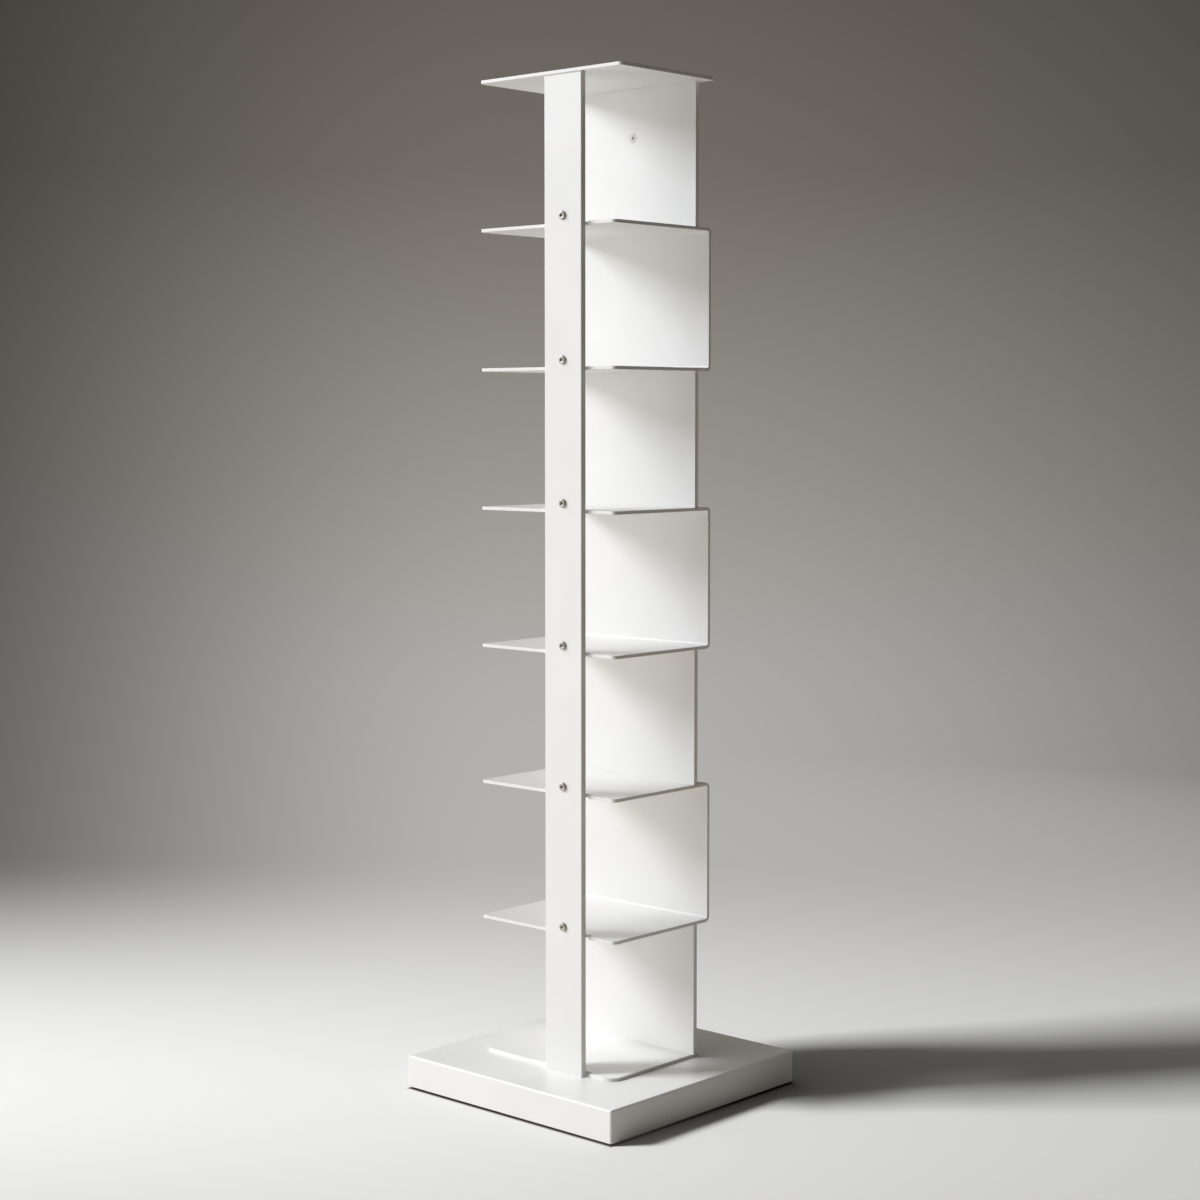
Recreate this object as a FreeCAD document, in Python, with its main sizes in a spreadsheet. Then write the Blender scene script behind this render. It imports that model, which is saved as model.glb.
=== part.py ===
import FreeCAD
import Part

import math
import os
from types import SimpleNamespace

import Sketcher

# A narrow open bookshelf of powder-coated sheet steel.
#
# A flat bar, the spine, stands on a square plinth and carries six shelves at its back. The
# shelves come in pairs: each pair and the web behind it is one sheet bent into a C, with a
# tab folded up behind the bar at the front of each shelf. Between the Cs stand flat back
# panels, tenoned through the sheets above and below them. A tray closes the tower at the
# bottom and a plain plate at the top.
#
# The frame: millimetres, +Z up, +X to the right as seen from the front, the front at -Y.
# The origin is the middle of the plinth, on the floor.

SIZES = [
    # plinth
    ("base_width", 350, "plinth, left to right"),
    ("base_depth", 350, "plinth, front to back"),
    ("base_height", 40, "plinth, without its feet"),
    ("base_corner", 3, "radius of the plinth's upright edges"),
    ("base_edge", 2.5, "radius of the plinth's top edge"),
    ("base_wall", 3, "sheet of the plinth's shell"),
    ("flange", 32, "flange turned in round the plinth's open underside"),
    ("ballast_height", 15, "ballast plate under the shell's top"),
    ("ballast_gap", 2, "clearance round the ballast as it passes the flange"),
    ("pad_height", 3, "rubber pads under the flange"),
    ("pad_width", 24, "rubber pads under the flange, either way"),
    ("pad_inset", 17, "plinth's side to the middle of a pad"),
    # spine bar
    ("bar_width", 62, "flat bar, left to right"),
    ("bar_sheet", 8, "flat bar, front to back"),
    ("bar_centre", 26.5, "middle of the bar, right of the plinth's middle"),
    ("bar_reach", 99, "front of the bar, before the plinth's middle"),
    ("bar_edge", 0.8, "bevel of the bar's long edges"),
    # bent shelf units
    ("sheet", 4, "sheet of the shelf units"),
    ("bend", 3, "inside radius of the bends"),
    ("shelf_width", 230, "shelves, left to right"),
    ("shelf_depth", 180, "shelves, front to back"),
    ("shelf_centre", -10, "middle of the shelves, right of the plinth's middle"),
    ("shelf_corner", 6, "radius of the shelves' front corners"),
    ("lowest_bay", 168, "clear height over the tray"),
    ("unit_bay", 171, "clear height inside a shelf unit"),
    ("middle_bay", 171, "clear height between two shelf units"),
    ("highest_bay", 179, "clear height under the top plate"),
    # folded tabs behind the bar
    ("tab_width", 46, "folded tab, left to right"),
    ("tab_height", 24, "folded tab, over the shelf's underside"),
    ("tab_bend", 2, "inside radius of the tab's bend"),
    ("tab_corner", 6, "bevel of the tab's upper corners"),
    ("relief_depth", 8, "bend reliefs, front to back"),
    ("relief_reach", 4, "bend reliefs, past the side of the bar"),
    ("relief_corner", 2.5, "radius of the reliefs' inner corners"),
    # inset back panels
    ("panel_sheet", 6, "back panels, front to back"),
    ("panel_inset", 23, "back of a panel, before the back of the shelves"),
    ("panel_margin", 1, "side of a panel, inside the side of the shelves"),
    ("tenon_length", 36, "tenons of the panels, left to right"),
    ("tenon_spacing", 120, "middle of one tenon to the middle of the other"),
    ("tenon_fit", 0.05, "clearance round a tenon"),
    # tray and top plate
    ("tray_sheet", 4, "bottom tray"),
    ("tray_inset", 4, "tray's sides, inside the sides of the shelves"),
    ("tray_lip", 10, "tray's back, behind the back of the panels"),
    ("tray_front_corner", 16, "radius of the tray's front corners"),
    ("tray_back_corner", 6, "radius of the tray's back corners"),
    ("top_width", 238, "top plate, left to right"),
    ("top_lip", 2, "front of the top plate, before the bar"),
    ("top_tail", 7, "back of the top plate, behind the back of the panels"),
    ("top_centre", 5, "middle of the top plate, right of the plinth's middle"),
    ("top_sheet", 4, "top plate"),
    ("top_corner", 5, "radius of the top plate's corners"),
    # screws of the spine
    ("screw_radius", 3, "M6 thread"),
    ("screw_length", 18, "M6 screws under the head"),
    ("screw_rise", 12, "axis of a spine screw over the shelf's underside"),
    ("head_radius", 5.25, "button head"),
    ("head_height", 3.3, "button head"),
    ("crown_radius", 3.1, "flat of a button head, round its socket"),
    ("head_rim", 1.2, "straight rim of a button head"),
    ("socket_width", 4, "hexagon socket, across flats"),
    ("socket_depth", 2.1, "hexagon socket"),
    ("nut_width", 10, "M6 nuts, across flats"),
    ("nut_height", 5, "M6 nuts"),
    ("thread_fit", 0.05, "clearance between a thread and its nut"),
    ("hole_fit", 0.3, "clearance between a screw and a plain hole"),
    # wall tie
    ("tie_offset", 10, "wall tie screw, right of the shelves' middle"),
    ("tie_drop", 62, "wall tie screw, under the top plate"),
    ("tie_length", 12, "wall tie screw, over all"),
    ("sunk_radius", 5.5, "countersunk head"),
    ("spacer_length", 20, "hexagon spacer of the wall tie"),
    ("spacer_grip", 8, "thread in either end of the spacer"),
    # fasteners of the bar's ends
    ("end_spacing", 34, "one screw of a bar's end to the other"),
    ("end_grip", 14, "thread in the bar's end"),
    ("end_runout", 3, "hole in the bar's end, past the screw"),
    ("bolt_radius", 2.5, "M5 thread"),
    ("bolt_head_width", 8, "M5 hexagon head, across flats"),
    ("bolt_head_height", 3.5, "M5 hexagon head"),
    ("small_radius", 2, "M4 thread"),
    ("small_head_radius", 3.7, "M4 countersunk head"),
    ("small_socket_width", 2.5, "M4 countersunk head, across the socket's flats"),
    ("small_socket_depth", 1.3, "M4 countersunk head"),
    # stud of the tray
    ("stud_radius", 3, "M6 stud under the tray"),
    ("stud_inset", 30, "stud, before the front of the back panels"),
    ("stud_tail", 2, "stud, past its nut"),
]

SHELF_UNITS = 3


# --------------------------------------------------------------------------------------
# Lengths that remember the spreadsheet expression they come from
# --------------------------------------------------------------------------------------

class Length:
    """A number with the expression that keeps a property tied to the spreadsheet."""

    def __init__(self, value, text):
        self.value = value
        self.text = text

    def __add__(self, other):
        return join(self, "+", other, self.value + number(other))

    def __sub__(self, other):
        return join(self, "-", other, self.value - number(other))

    def __mul__(self, other):
        return join(self, "*", other, self.value * number(other))

    def __truediv__(self, other):
        return join(self, "/", other, self.value / number(other))

    def __radd__(self, other):
        return join(other, "+", self, number(other) + self.value)

    def __rsub__(self, other):
        return join(other, "-", self, number(other) - self.value)

    def __rmul__(self, other):
        return join(other, "*", self, number(other) * self.value)

    def __neg__(self):
        return join(0, "-", self, -self.value)


def number(term):
    """The plain number of a Length or of a number."""
    return term.value if isinstance(term, Length) else term


def text(term):
    """The expression of a Length or of a number."""
    return term.text if isinstance(term, Length) else repr(float(term))


def join(left, sign, right, value):
    """The Length of two terms joined by an arithmetic sign."""
    return Length(value, f"({text(left)} {sign} {text(right)})")


def bind(item, name, length):
    """Ties one property or constraint of an object to the spreadsheet."""
    item.setExpression(name, text(length))


doc = FreeCAD.newDocument("SpineBookshelf")
sheet_object = doc.addObject("Spreadsheet::Sheet", "Sizes")
for row, (alias, value, note) in enumerate(SIZES, start=1):
    sheet_object.set(f"A{row}", alias)
    sheet_object.set(f"B{row}", str(value))
    sheet_object.set(f"C{row}", note)
    sheet_object.setAlias(f"B{row}", alias)
doc.recompute()
size = SimpleNamespace(**{alias: Length(value, f"Sizes.{alias}") for alias, value, note in SIZES})


# --------------------------------------------------------------------------------------
# Heights and places that several pieces share
# --------------------------------------------------------------------------------------

ground = Length(0, "0")
base_bottom = size.pad_height
base_top = base_bottom + size.base_height
ballast_top = base_top - size.base_wall
ballast_bottom = ballast_top - size.ballast_height
tray_top = base_top + size.tray_sheet

unit_height = size.unit_bay + size.sheet * 2
lowest_unit = tray_top + size.lowest_bay
unit_pitch = unit_height + size.middle_bay
unit_levels = [lowest_unit + unit_pitch * index for index in range(SHELF_UNITS)]
top_level = unit_levels[-1] + unit_height + size.highest_bay
bar_length = top_level - base_top
upper_shelf = size.unit_bay + size.sheet

screw_heights = [
    level + floor + size.screw_rise for level in unit_levels for floor in (ground, upper_shelf)
]

bar_front = -size.bar_reach
bar_back = bar_front + size.bar_sheet
bar_middle = bar_front + size.bar_sheet / 2
shelf_front = bar_back
shelf_back = shelf_front + size.shelf_depth
shelf_left = size.shelf_centre - size.shelf_width / 2
shelf_right = size.shelf_centre + size.shelf_width / 2
relief_back = shelf_front + size.relief_depth
panel_back = shelf_back - size.panel_inset
panel_front = panel_back - size.panel_sheet
panel_left = shelf_left + size.panel_margin
panel_right = shelf_right - size.panel_margin
tray_left = shelf_left + size.tray_inset
tray_right = shelf_right - size.tray_inset
tray_back = panel_back + size.tray_lip
top_left = size.top_centre - size.top_width / 2
top_right = size.top_centre + size.top_width / 2
top_front = bar_front - size.top_lip
top_back = panel_back + size.top_tail

tenon_middles = [size.shelf_centre + size.tenon_spacing / 2 * side for side in (-1, 1)]
end_middles = [size.bar_centre + size.end_spacing / 2 * side for side in (-1, 1)]
bolt_places = [(across, bar_middle) for across in end_middles]
stud_place = (size.shelf_centre, panel_front - size.stud_inset)
pad_across = size.base_width / 2 - size.pad_inset
pad_along = size.base_depth / 2 - size.pad_inset
pad_places = [(pad_across * side, pad_along * end) for side in (-1, 1) for end in (-1, 1)]
tie_x = size.shelf_centre + size.tie_offset
tie_height = top_level - size.tie_drop


# --------------------------------------------------------------------------------------
# Sketches
# --------------------------------------------------------------------------------------

def new_body(label, height=None, group=False):
    """A body for one piece or a group of like pieces, lifted to its height if it has one."""
    body = doc.addObject("PartDesign::Body", label)
    body.Label = label
    body.AllowCompound = group
    if height is not None:
        bind(body, "Placement.Base.z", height)
    return body


def new_sketch(body, plane, offset=None):
    """A sketch on one of the body's own planes, moved along the plane's normal."""
    sketch = body.newObject("Sketcher::SketchObject", f"{body.Name}_sketch")
    found = [item for item in body.Origin.OriginFeatures if item.Role == plane]
    sketch.AttachmentSupport = [(found[0], "")]
    sketch.MapMode = "FlatFace"
    if offset is not None:
        bind(sketch, "AttachmentOffset.Base.z", offset)
    return sketch


def place_point(sketch, line, point, place):
    """Ties a point of a sketch to its two distances from the sketch's origin."""
    for kind, distance in zip(("DistanceX", "DistanceY"), place):
        index = sketch.addConstraint(
            Sketcher.Constraint(kind, -1, 1, line, point, number(distance))
        )
        bind(sketch, f"Constraints[{index}]", distance)


def add_outline(sketch, points):
    """A closed outline of straight lines through points given as pairs of lengths."""
    first = sketch.GeometryCount
    corners = [FreeCAD.Vector(number(across), number(up), 0) for across, up in points]
    for start, end in zip(corners, corners[1:] + corners[:1]):
        sketch.addGeometry(Part.LineSegment(start, end))
    for index, place in enumerate(points):
        line = first + index
        following = first + (index + 1) % len(points)
        sketch.addConstraint(Sketcher.Constraint("Coincident", line, 2, following, 1))
        place_point(sketch, line, 1, place)


def add_rectangle(sketch, left, right, low, high):
    """A rectangle between two sides and two heights."""
    add_outline(sketch, [(left, low), (right, low), (right, high), (left, high)])


def add_circle(sketch, across, up, radius):
    """A circle about a point."""
    centre = FreeCAD.Vector(number(across), number(up), 0)
    circle = Part.Circle(centre, FreeCAD.Vector(0, 0, 1), number(radius))
    line = sketch.addGeometry(circle)
    place_point(sketch, line, 3, (across, up))
    index = sketch.addConstraint(Sketcher.Constraint("Radius", line, number(radius)))
    bind(sketch, f"Constraints[{index}]", radius)


def add_hexagon(sketch, across, up, width):
    """A regular hexagon with two flats level, its width measured across them."""
    corner = width / math.sqrt(3)
    half = width / 2
    add_outline(
        sketch,
        [
            (across + corner, up),
            (across + corner / 2, up + half),
            (across - corner / 2, up + half),
            (across - corner, up),
            (across - corner / 2, up - half),
            (across + corner / 2, up - half),
        ],
    )


# --------------------------------------------------------------------------------------
# Features
# --------------------------------------------------------------------------------------

def pad(body, sketch, length, backwards=False, both_ways=False):
    """Raises a sketch into a solid."""
    feature = body.newObject("PartDesign::Pad", f"{body.Name}_pad")
    feature.Profile = sketch
    feature.SideType = "Symmetric" if both_ways else "One side"
    feature.Reversed = backwards
    bind(feature, "Length", length)
    doc.recompute()
    return feature


def pocket(body, sketch, depth=None, backwards=False):
    """Cuts a sketch out of the body, to a depth or right through to both sides."""
    before = body.Shape.Volume
    feature = body.newObject("PartDesign::Pocket", f"{body.Name}_pocket")
    feature.Profile = sketch
    feature.Reversed = backwards
    if depth is None:
        feature.SideType = "Symmetric"
        feature.Type = "ThroughAll"
    else:
        bind(feature, "Length", depth)
    doc.recompute()
    if not body.Shape.Volume < before:
        raise ValueError(f"{feature.Name} cuts nothing")
    return feature


def edge_names(shape, wanted):
    """The names of the shape's edges that pass a test."""
    names = [f"Edge{index}" for index, edge in enumerate(shape.Edges, start=1) if wanted(edge)]
    if not names:
        raise ValueError("no edge passes the test")
    return names


def dress(body, kind, wanted, radius):
    """Rounds or bevels the edges of the body's last feature that pass a test."""
    base = body.Tip
    feature = body.newObject(f"PartDesign::{kind}", f"{body.Name}_{kind.lower()}")
    feature.Base = (base, edge_names(base.Shape, wanted))
    bind(feature, "Radius" if kind == "Fillet" else "Size", radius)
    doc.recompute()
    return feature


def fillet(body, wanted, radius):
    """Rounds the edges of the body's last feature that pass a test."""
    return dress(body, "Fillet", wanted, radius)


def bevel(body, wanted, width):
    """Bevels the edges of the body's last feature that pass a test."""
    return dress(body, "Chamfer", wanted, width)


def direction(edge):
    """The unit direction of a straight edge, or None on a curve."""
    if not isinstance(edge.Curve, Part.Line):
        return None
    return edge.tangentAt(edge.FirstParameter)


def runs_along(edge, axis):
    """Whether an edge is straight and runs along X, Y or Z."""
    course = direction(edge)
    return course is not None and abs(abs(getattr(course, axis)) - 1) < 1e-6


def near(first, second):
    """Whether two measures are the same size."""
    return abs(first - number(second)) < 1e-4


def upright(edge):
    """Whether an edge is straight and stands upright."""
    return runs_along(edge, "z")


def upright_at(lefts_and_rights, fronts_and_backs):
    """A test for upright edges that stand at one of some places in plan."""
    def wanted(edge):
        if not upright(edge):
            return False
        middle = edge.CenterOfMass
        across = any(near(middle.x, place) for place in lefts_and_rights)
        along = any(near(middle.y, place) for place in fronts_and_backs)
        return across and along
    return wanted


def across_at(centre, fronts_and_backs, heights):
    """A test for straight edges that run left to right about a centre, at some places."""
    def wanted(edge):
        if not runs_along(edge, "x"):
            return False
        middle = edge.CenterOfMass
        along = any(near(middle.y, place) for place in fronts_and_backs)
        up = any(near(middle.z, place) for place in heights)
        return near(middle.x, centre) and along and up
    return wanted


def lengthwise_at(sides, heights):
    """A test for straight edges that run front to back at one of some places."""
    def wanted(edge):
        if not runs_along(edge, "y"):
            return False
        middle = edge.CenterOfMass
        across = any(near(middle.x, place) for place in sides)
        up = any(near(middle.z, place) for place in heights)
        return across and up
    return wanted


def round_edge(edge):
    """Whether an edge is a whole circle."""
    return isinstance(edge.Curve, Part.Circle) and edge.Closed


def level_with(height):
    """A test for edges that lie level at one height."""
    def wanted(edge):
        box = edge.BoundBox
        return near(box.ZMin, height) and near(box.ZMax, height)
    return wanted


# --------------------------------------------------------------------------------------
# Plinth
# --------------------------------------------------------------------------------------

def make_plinth_shell():
    """The folded box of the plinth, open below inside its flange."""
    body = new_body("plinth_shell", base_bottom)
    half_width = size.base_width / 2
    half_depth = size.base_depth / 2
    outside = new_sketch(body, "XY_Plane")
    add_rectangle(outside, -half_width, half_width, -half_depth, half_depth)
    pad(body, outside, size.base_height)
    fillet(body, upright, size.base_corner)
    fillet(body, level_with(size.base_height), size.base_edge)

    for inset, floor in ((size.base_wall, size.base_wall), (size.flange, ground)):
        across = half_width - inset
        along = half_depth - inset
        inside = new_sketch(body, "XY_Plane", floor)
        add_rectangle(inside, -across, across, -along, along)
        pocket(body, inside, size.base_height - size.base_wall - floor, backwards=True)

    holes = new_sketch(body, "XY_Plane")
    add_clearance_holes(holes)
    pocket(body, holes)


def add_clearance_holes(sketch):
    """Holes for the bolts of the bar and the stud of the tray."""
    for place in bolt_places:
        add_circle(sketch, *place, size.bolt_radius + size.hole_fit)
    add_circle(sketch, *stud_place, size.stud_radius + size.hole_fit)


def make_ballast_plate():
    """A plate that hangs under the plinth's top on the fasteners of bar and tray."""
    body = new_body("ballast_plate", ballast_bottom)
    across = size.base_width / 2 - size.flange - size.ballast_gap
    along = size.base_depth / 2 - size.flange - size.ballast_gap
    plate = new_sketch(body, "XY_Plane")
    add_rectangle(plate, -across, across, -along, along)
    add_clearance_holes(plate)
    pad(body, plate, size.ballast_height)


def make_foot_pads():
    """Four thin square rubber pads under the flange's corners."""
    half = size.pad_width / 2
    for index, (across, along) in enumerate(pad_places, start=1):
        body = new_body(f"foot_pad_{index}")
        square = new_sketch(body, "XY_Plane")
        add_rectangle(square, across - half, across + half, along - half, along + half)
        pad(body, square, size.pad_height)


# --------------------------------------------------------------------------------------
# Spine bar
# --------------------------------------------------------------------------------------

def make_spine_bar():
    """The flat bar, drilled for its spine screws and tapped in both ends."""
    body = new_body("spine_bar", base_top)
    section = new_sketch(body, "XY_Plane")
    half = size.bar_width / 2
    add_rectangle(section, size.bar_centre - half, size.bar_centre + half, bar_front, bar_back)
    pad(body, section, bar_length)
    bevel(body, upright, size.bar_edge)

    holes = new_sketch(body, "XZ_Plane", -bar_middle)
    for height in screw_heights:
        radius = size.screw_radius + size.hole_fit
        add_circle(holes, size.bar_centre, height - base_top, radius)
    pocket(body, holes)

    depth = size.end_grip + size.end_runout
    lower_threads = new_sketch(body, "XY_Plane")
    for place in bolt_places:
        add_circle(lower_threads, *place, size.bolt_radius + size.thread_fit)
    pocket(body, lower_threads, depth, backwards=True)
    upper_thread = new_sketch(body, "XY_Plane", bar_length)
    add_circle(upper_thread, size.bar_centre, bar_middle, size.small_radius + size.thread_fit)
    pocket(body, upper_thread, depth)


# --------------------------------------------------------------------------------------
# Bent shelf units
# --------------------------------------------------------------------------------------

def add_tenon_slots(sketch):
    """The two slots that a panel's tenons fill, in any of the sheets above and below it."""
    half = size.tenon_length / 2 + size.tenon_fit
    for place in tenon_middles:
        low = panel_front - size.tenon_fit
        high = panel_back + size.tenon_fit
        add_rectangle(sketch, place - half, place + half, low, high)


def cut_front_notch(body):
    """The notch behind the bar, which leaves a bend relief on either side of a tab."""
    half = size.bar_width / 2 + size.relief_reach
    left = size.bar_centre - half
    right = size.bar_centre + half
    notch = new_sketch(body, "XY_Plane")
    add_rectangle(notch, left, right, shelf_front - size.relief_depth, relief_back)
    pocket(body, notch)
    fillet(body, upright_at([left, right], [relief_back]), size.relief_corner)


def make_shelf_unit(index, level):
    """Two shelves and the web behind them, bent from one sheet, with a tab on each shelf."""
    body = new_body(f"shelf_unit_{index}", level)
    web_front = shelf_back - size.sheet
    profile = new_sketch(body, "YZ_Plane", size.shelf_centre)
    add_outline(
        profile,
        [
            (shelf_front, ground),
            (shelf_back, ground),
            (shelf_back, unit_height),
            (shelf_front, unit_height),
            (shelf_front, upper_shelf),
            (web_front, upper_shelf),
            (web_front, size.sheet),
            (shelf_front, size.sheet),
        ],
    )
    pad(body, profile, size.shelf_width, both_ways=True)

    middle = size.shelf_centre
    fillet(body, across_at(middle, [web_front], [size.sheet, upper_shelf]), size.bend)
    outer_bend = size.bend + size.sheet
    fillet(body, across_at(middle, [shelf_back], [ground, unit_height]), outer_bend)
    fillet(body, upright_at([shelf_left, shelf_right], [shelf_front]), size.shelf_corner)

    cut_front_notch(body)
    tab_back = shelf_front + size.sheet
    tabs = new_sketch(body, "YZ_Plane", size.bar_centre)
    for floor in (ground, upper_shelf):
        add_outline(
            tabs,
            [
                (shelf_front, floor),
                (relief_back, floor),
                (relief_back, floor + size.sheet),
                (tab_back, floor + size.sheet),
                (tab_back, floor + size.tab_height),
                (shelf_front, floor + size.tab_height),
            ],
        )
    pad(body, tabs, size.tab_width, both_ways=True)
    middle = size.bar_centre
    inner_bends = [floor + size.sheet for floor in (ground, upper_shelf)]
    fillet(body, across_at(middle, [tab_back], inner_bends), size.tab_bend)
    outer_bend = size.tab_bend + size.sheet
    fillet(body, across_at(middle, [shelf_front], [ground, upper_shelf]), outer_bend)
    tab_tops = [floor + size.tab_height for floor in (ground, upper_shelf)]
    tab_sides = [middle + size.tab_width / 2 * side for side in (-1, 1)]
    bevel(body, lengthwise_at(tab_sides, tab_tops), size.tab_corner)

    holes = new_sketch(body, "XZ_Plane", -shelf_front)
    for floor in (ground, upper_shelf):
        radius = size.screw_radius + size.hole_fit
        add_circle(holes, size.bar_centre, floor + size.screw_rise, radius)
    pocket(body, holes, size.sheet)

    slots = new_sketch(body, "XY_Plane")
    add_tenon_slots(slots)
    pocket(body, slots)


# --------------------------------------------------------------------------------------
# Back panels, tray and top plate
# --------------------------------------------------------------------------------------

def make_back_panel(index, level, height, lower_sheet, upper_sheet):
    """A flat panel with two tenons down and two up, as long as the sheets they fill."""
    body = new_body(f"back_panel_{index}", level)
    plate = new_sketch(body, "XZ_Plane", -panel_front)
    add_rectangle(plate, panel_left, panel_right, ground, height)
    pad(body, plate, size.panel_sheet, backwards=True)
    tenons = new_sketch(body, "XZ_Plane", -panel_front)
    half = size.tenon_length / 2
    for place in tenon_middles:
        add_rectangle(tenons, place - half, place + half, -lower_sheet, ground)
        add_rectangle(tenons, place - half, place + half, height, height + upper_sheet)
    pad(body, tenons, size.panel_sheet, backwards=True)
    return body


def sink_wall_tie(body, level):
    """The countersunk hole of the wall tie screw."""
    radius = size.screw_radius + size.hole_fit
    hole = new_sketch(body, "XZ_Plane", -panel_front)
    add_circle(hole, tie_x, tie_height - level, radius)
    pocket(body, hole, size.panel_sheet)

    def front_rim(edge):
        return round_edge(edge) and near(edge.CenterOfMass.y, panel_front)

    bevel(body, front_rim, size.sunk_radius + size.thread_fit - radius)


def make_bottom_tray():
    """The plate between the plinth and the lowest panel, notched behind the bar."""
    body = new_body("bottom_tray", base_top)
    plate = new_sketch(body, "XY_Plane")
    add_rectangle(plate, tray_left, tray_right, shelf_front, tray_back)
    pad(body, plate, size.tray_sheet)
    sides = [tray_left, tray_right]
    fillet(body, upright_at(sides, [shelf_front]), size.tray_front_corner)
    fillet(body, upright_at(sides, [tray_back]), size.tray_back_corner)
    cut_front_notch(body)
    slots = new_sketch(body, "XY_Plane")
    add_tenon_slots(slots)
    pocket(body, slots)


def make_top_plate():
    """The plate over the bar and the highest panel, with a sunk hole over the bar."""
    body = new_body("top_plate", top_level)
    plate = new_sketch(body, "XY_Plane")
    add_rectangle(plate, top_left, top_right, top_front, top_back)
    pad(body, plate, size.top_sheet)
    fillet(body, upright, size.top_corner)
    radius = size.small_radius + size.hole_fit
    openings = new_sketch(body, "XY_Plane")
    add_tenon_slots(openings)
    add_circle(openings, size.bar_centre, bar_middle, radius)
    pocket(body, openings)

    def upper_rim(edge):
        return round_edge(edge) and near(edge.CenterOfMass.z, size.top_sheet)

    bevel(body, upper_rim, size.small_head_radius + size.thread_fit - radius)


# --------------------------------------------------------------------------------------
# Fasteners
# --------------------------------------------------------------------------------------

def turn(body, plane, offset, axis_start, axis_end, points):
    """A turned solid: an outline swung round a line of its own sketch."""
    sketch = new_sketch(body, plane, offset)
    ends = [FreeCAD.Vector(number(across), number(up), 0) for across, up in (axis_start, axis_end)]
    line = sketch.addGeometry(Part.LineSegment(*ends), True)
    place_point(sketch, line, 1, axis_start)
    place_point(sketch, line, 2, axis_end)
    add_outline(sketch, points)
    feature = body.newObject("PartDesign::Revolution", f"{body.Name}_turned")
    feature.Profile = sketch
    feature.ReferenceAxis = (sketch, ["Axis0"])
    feature.Angle = 360
    doc.recompute()
    return feature


def turn_upright(body, across, along, steps):
    """A solid turned about an upright axis, from pairs of radius and height."""
    low = steps[0][1]
    high = steps[-1][1]
    rim = [(across + radius, height) for radius, height in steps]
    outline = [(across, low)] + rim + [(across, high)]
    return turn(body, "XZ_Plane", -along, (across, low), (across, high), outline)


def turn_lengthwise(body, across, height, steps):
    """A solid turned about an axis that runs front to back, from pairs of radius and depth."""
    front = steps[0][1]
    back = steps[-1][1]
    rim = [(across + radius, depth) for radius, depth in steps]
    outline = [(across, front)] + rim + [(across, back)]
    return turn(body, "XY_Plane", height, (across, front), (across, back), outline)


def cut_sockets(body, sketch, places, width, depth):
    """Hexagon sockets in the heads of one or more screws."""
    for place in places:
        add_hexagon(sketch, *place, width)
    pocket(body, sketch, depth)


def add_nuts(sketch, places):
    """The sections of M6 nuts."""
    for place in places:
        add_hexagon(sketch, *place, size.nut_width)
        add_circle(sketch, *place, size.screw_radius + size.thread_fit)


def make_spine_screws():
    """The M6 button-head screws that hold the tabs to the bar."""
    body = new_body("spine_screws", group=True)
    head_front = bar_front - size.head_height
    steps = [
        (size.crown_radius, head_front),
        (size.head_radius, bar_front - size.head_rim),
        (size.head_radius, bar_front),
        (size.screw_radius, bar_front),
        (size.screw_radius, bar_front + size.screw_length),
    ]
    for height in screw_heights:
        turn_lengthwise(body, size.bar_centre, height, steps)
    sockets = new_sketch(body, "XZ_Plane", -head_front)
    places = [(size.bar_centre, height) for height in screw_heights]
    cut_sockets(body, sockets, places, size.socket_width, size.socket_depth)


def make_spine_nuts():
    """The nuts welded behind the tabs."""
    body = new_body("spine_nuts", group=True)
    sections = new_sketch(body, "XZ_Plane", -(shelf_front + size.sheet))
    add_nuts(sections, [(size.bar_centre, height) for height in screw_heights])
    pad(body, sections, size.nut_height, backwards=True)


def make_wall_tie():
    """The sunk screw in the highest panel, and the spacer that it holds for a wall strap."""
    place = (tie_x, tie_height)
    screw = new_body("wall_tie_screw")
    steps = [
        (size.sunk_radius, panel_front),
        (size.screw_radius, panel_front + size.sunk_radius - size.screw_radius),
        (size.screw_radius, panel_front + size.tie_length),
    ]
    turn_lengthwise(screw, *place, steps)
    socket = new_sketch(screw, "XZ_Plane", -panel_front)
    cut_sockets(screw, socket, [place], size.socket_width, size.socket_depth)

    spacer = new_body("wall_tie_spacer")
    section = new_sketch(spacer, "XZ_Plane", -panel_back)
    add_hexagon(section, *place, size.nut_width)
    pad(spacer, section, size.spacer_length, backwards=True)
    ends = ((panel_back, False), (panel_back + size.spacer_length, True))
    for face, backwards in ends:
        thread = new_sketch(spacer, "XZ_Plane", -face)
        add_circle(thread, *place, size.screw_radius + size.thread_fit)
        pocket(spacer, thread, size.spacer_grip, backwards=backwards)


def make_bar_bolts():
    """Two hexagon bolts from under the ballast up into the end of the bar."""
    head_bottom = ballast_bottom - size.bolt_head_height
    body = new_body("bar_bolts", head_bottom, group=True)
    heads = new_sketch(body, "XY_Plane")
    shanks = new_sketch(body, "XY_Plane")
    for place in bolt_places:
        add_hexagon(heads, *place, size.bolt_head_width)
        add_circle(shanks, *place, size.bolt_radius)
    pad(body, heads, size.bolt_head_height)
    pad(body, shanks, base_top + size.end_grip - head_bottom)


def make_top_screw():
    """The sunk screw down through the top plate into the end of the bar."""
    body = new_body("top_screw")
    face = top_level + size.top_sheet
    steps = [
        (size.small_radius, top_level - size.end_grip),
        (size.small_radius, face - (size.small_head_radius - size.small_radius)),
        (size.small_head_radius, face),
    ]
    turn_upright(body, size.bar_centre, bar_middle, steps)
    socket = new_sketch(body, "XY_Plane", face)
    place = (size.bar_centre, bar_middle)
    cut_sockets(body, socket, [place], size.small_socket_width, size.small_socket_depth)


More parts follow.
